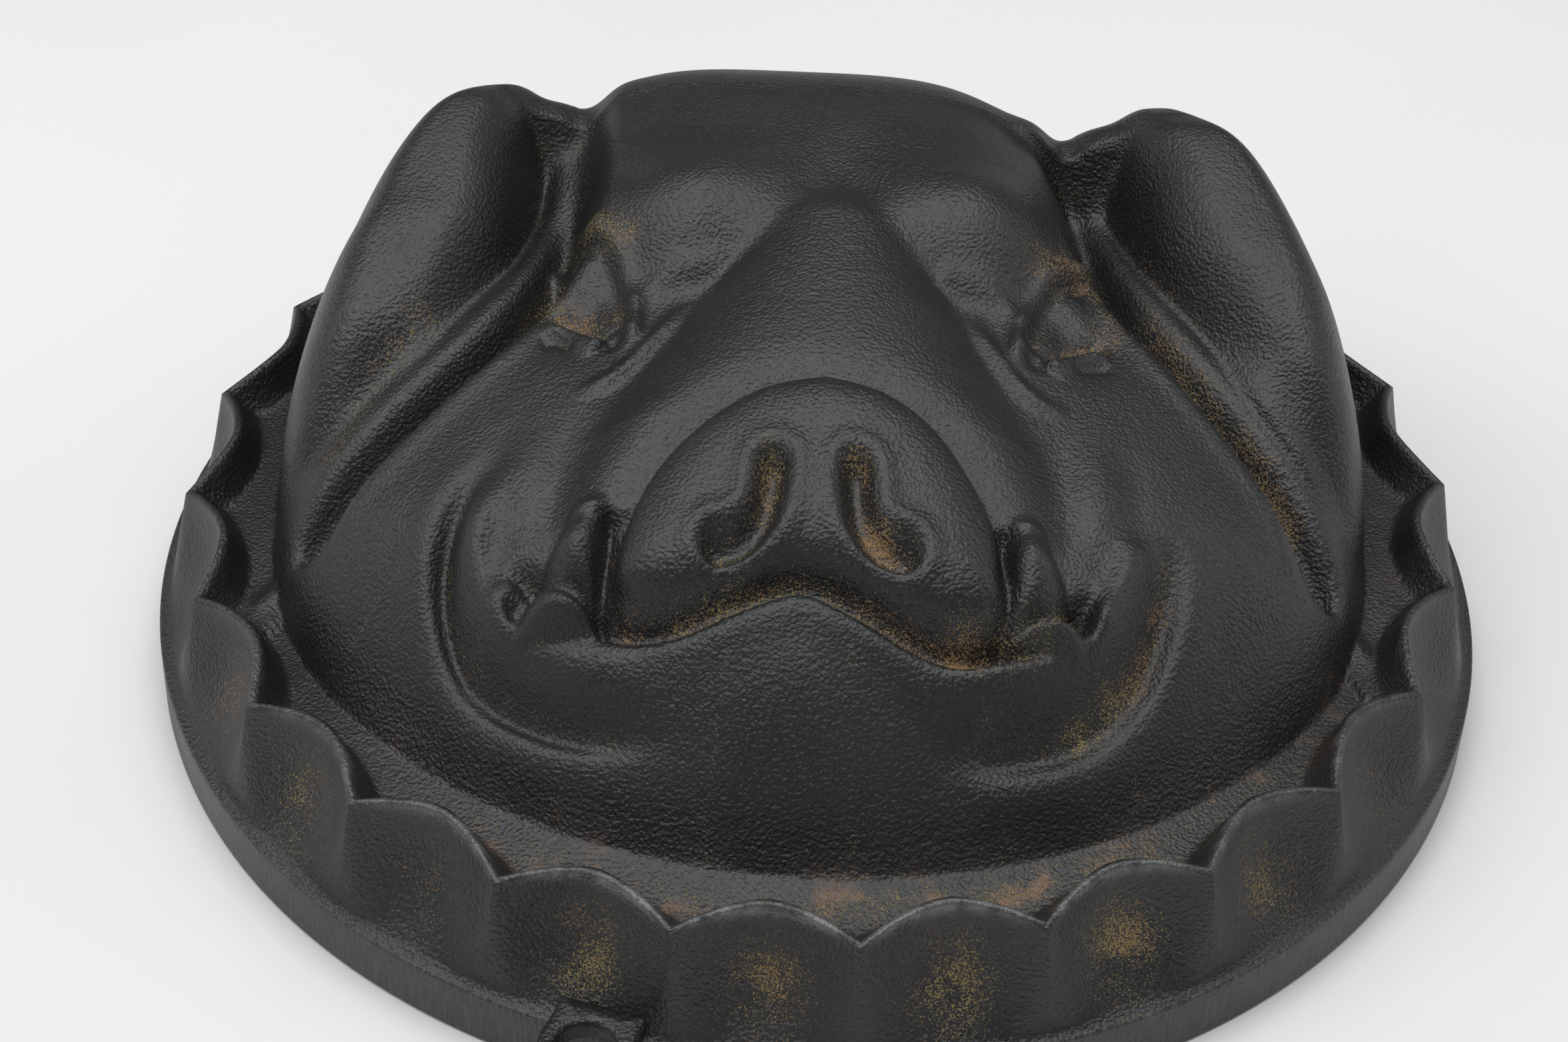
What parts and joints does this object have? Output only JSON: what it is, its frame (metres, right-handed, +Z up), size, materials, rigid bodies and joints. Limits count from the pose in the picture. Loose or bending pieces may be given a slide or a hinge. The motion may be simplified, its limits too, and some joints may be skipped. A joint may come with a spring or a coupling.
{
  "type": "pig head mould",
  "caption": "Round cast-iron food mould in the form of a pig's face, lying mouth down, with a scalloped rim, a ground edge band and a wire ring in its hanging eye.",
  "frame": {"origin": "middle of the whole part's outline seen from above, on the plane the rim rests on", "axes": "+Z up, away from the resting plane toward the top of the head; -Y toward the chin and the hanging ring; +X to the right of someone who faces the snout"},
  "size_m": [0.2, 0.214, 0.0732],
  "materials": {
    "black_iron": "seasoned black, satin, with the casting's grain and specks of rust",
    "ring_wire": "dull dark steel wire"
  },
  "bodies": {
    "mould": {"mould_casting": "black_iron"},
    "ring": {"hanging_ring": "ring_wire"}
  },
  "joints": [
    {"name": "ring_swing", "type": "hinge", "parent": "mould", "child": "ring", "pos_m": [-0.02829, -0.09854, 0.0094], "axis": [0.9659, -0.2588, 0], "range_deg": [0, 30]}
  ]
}
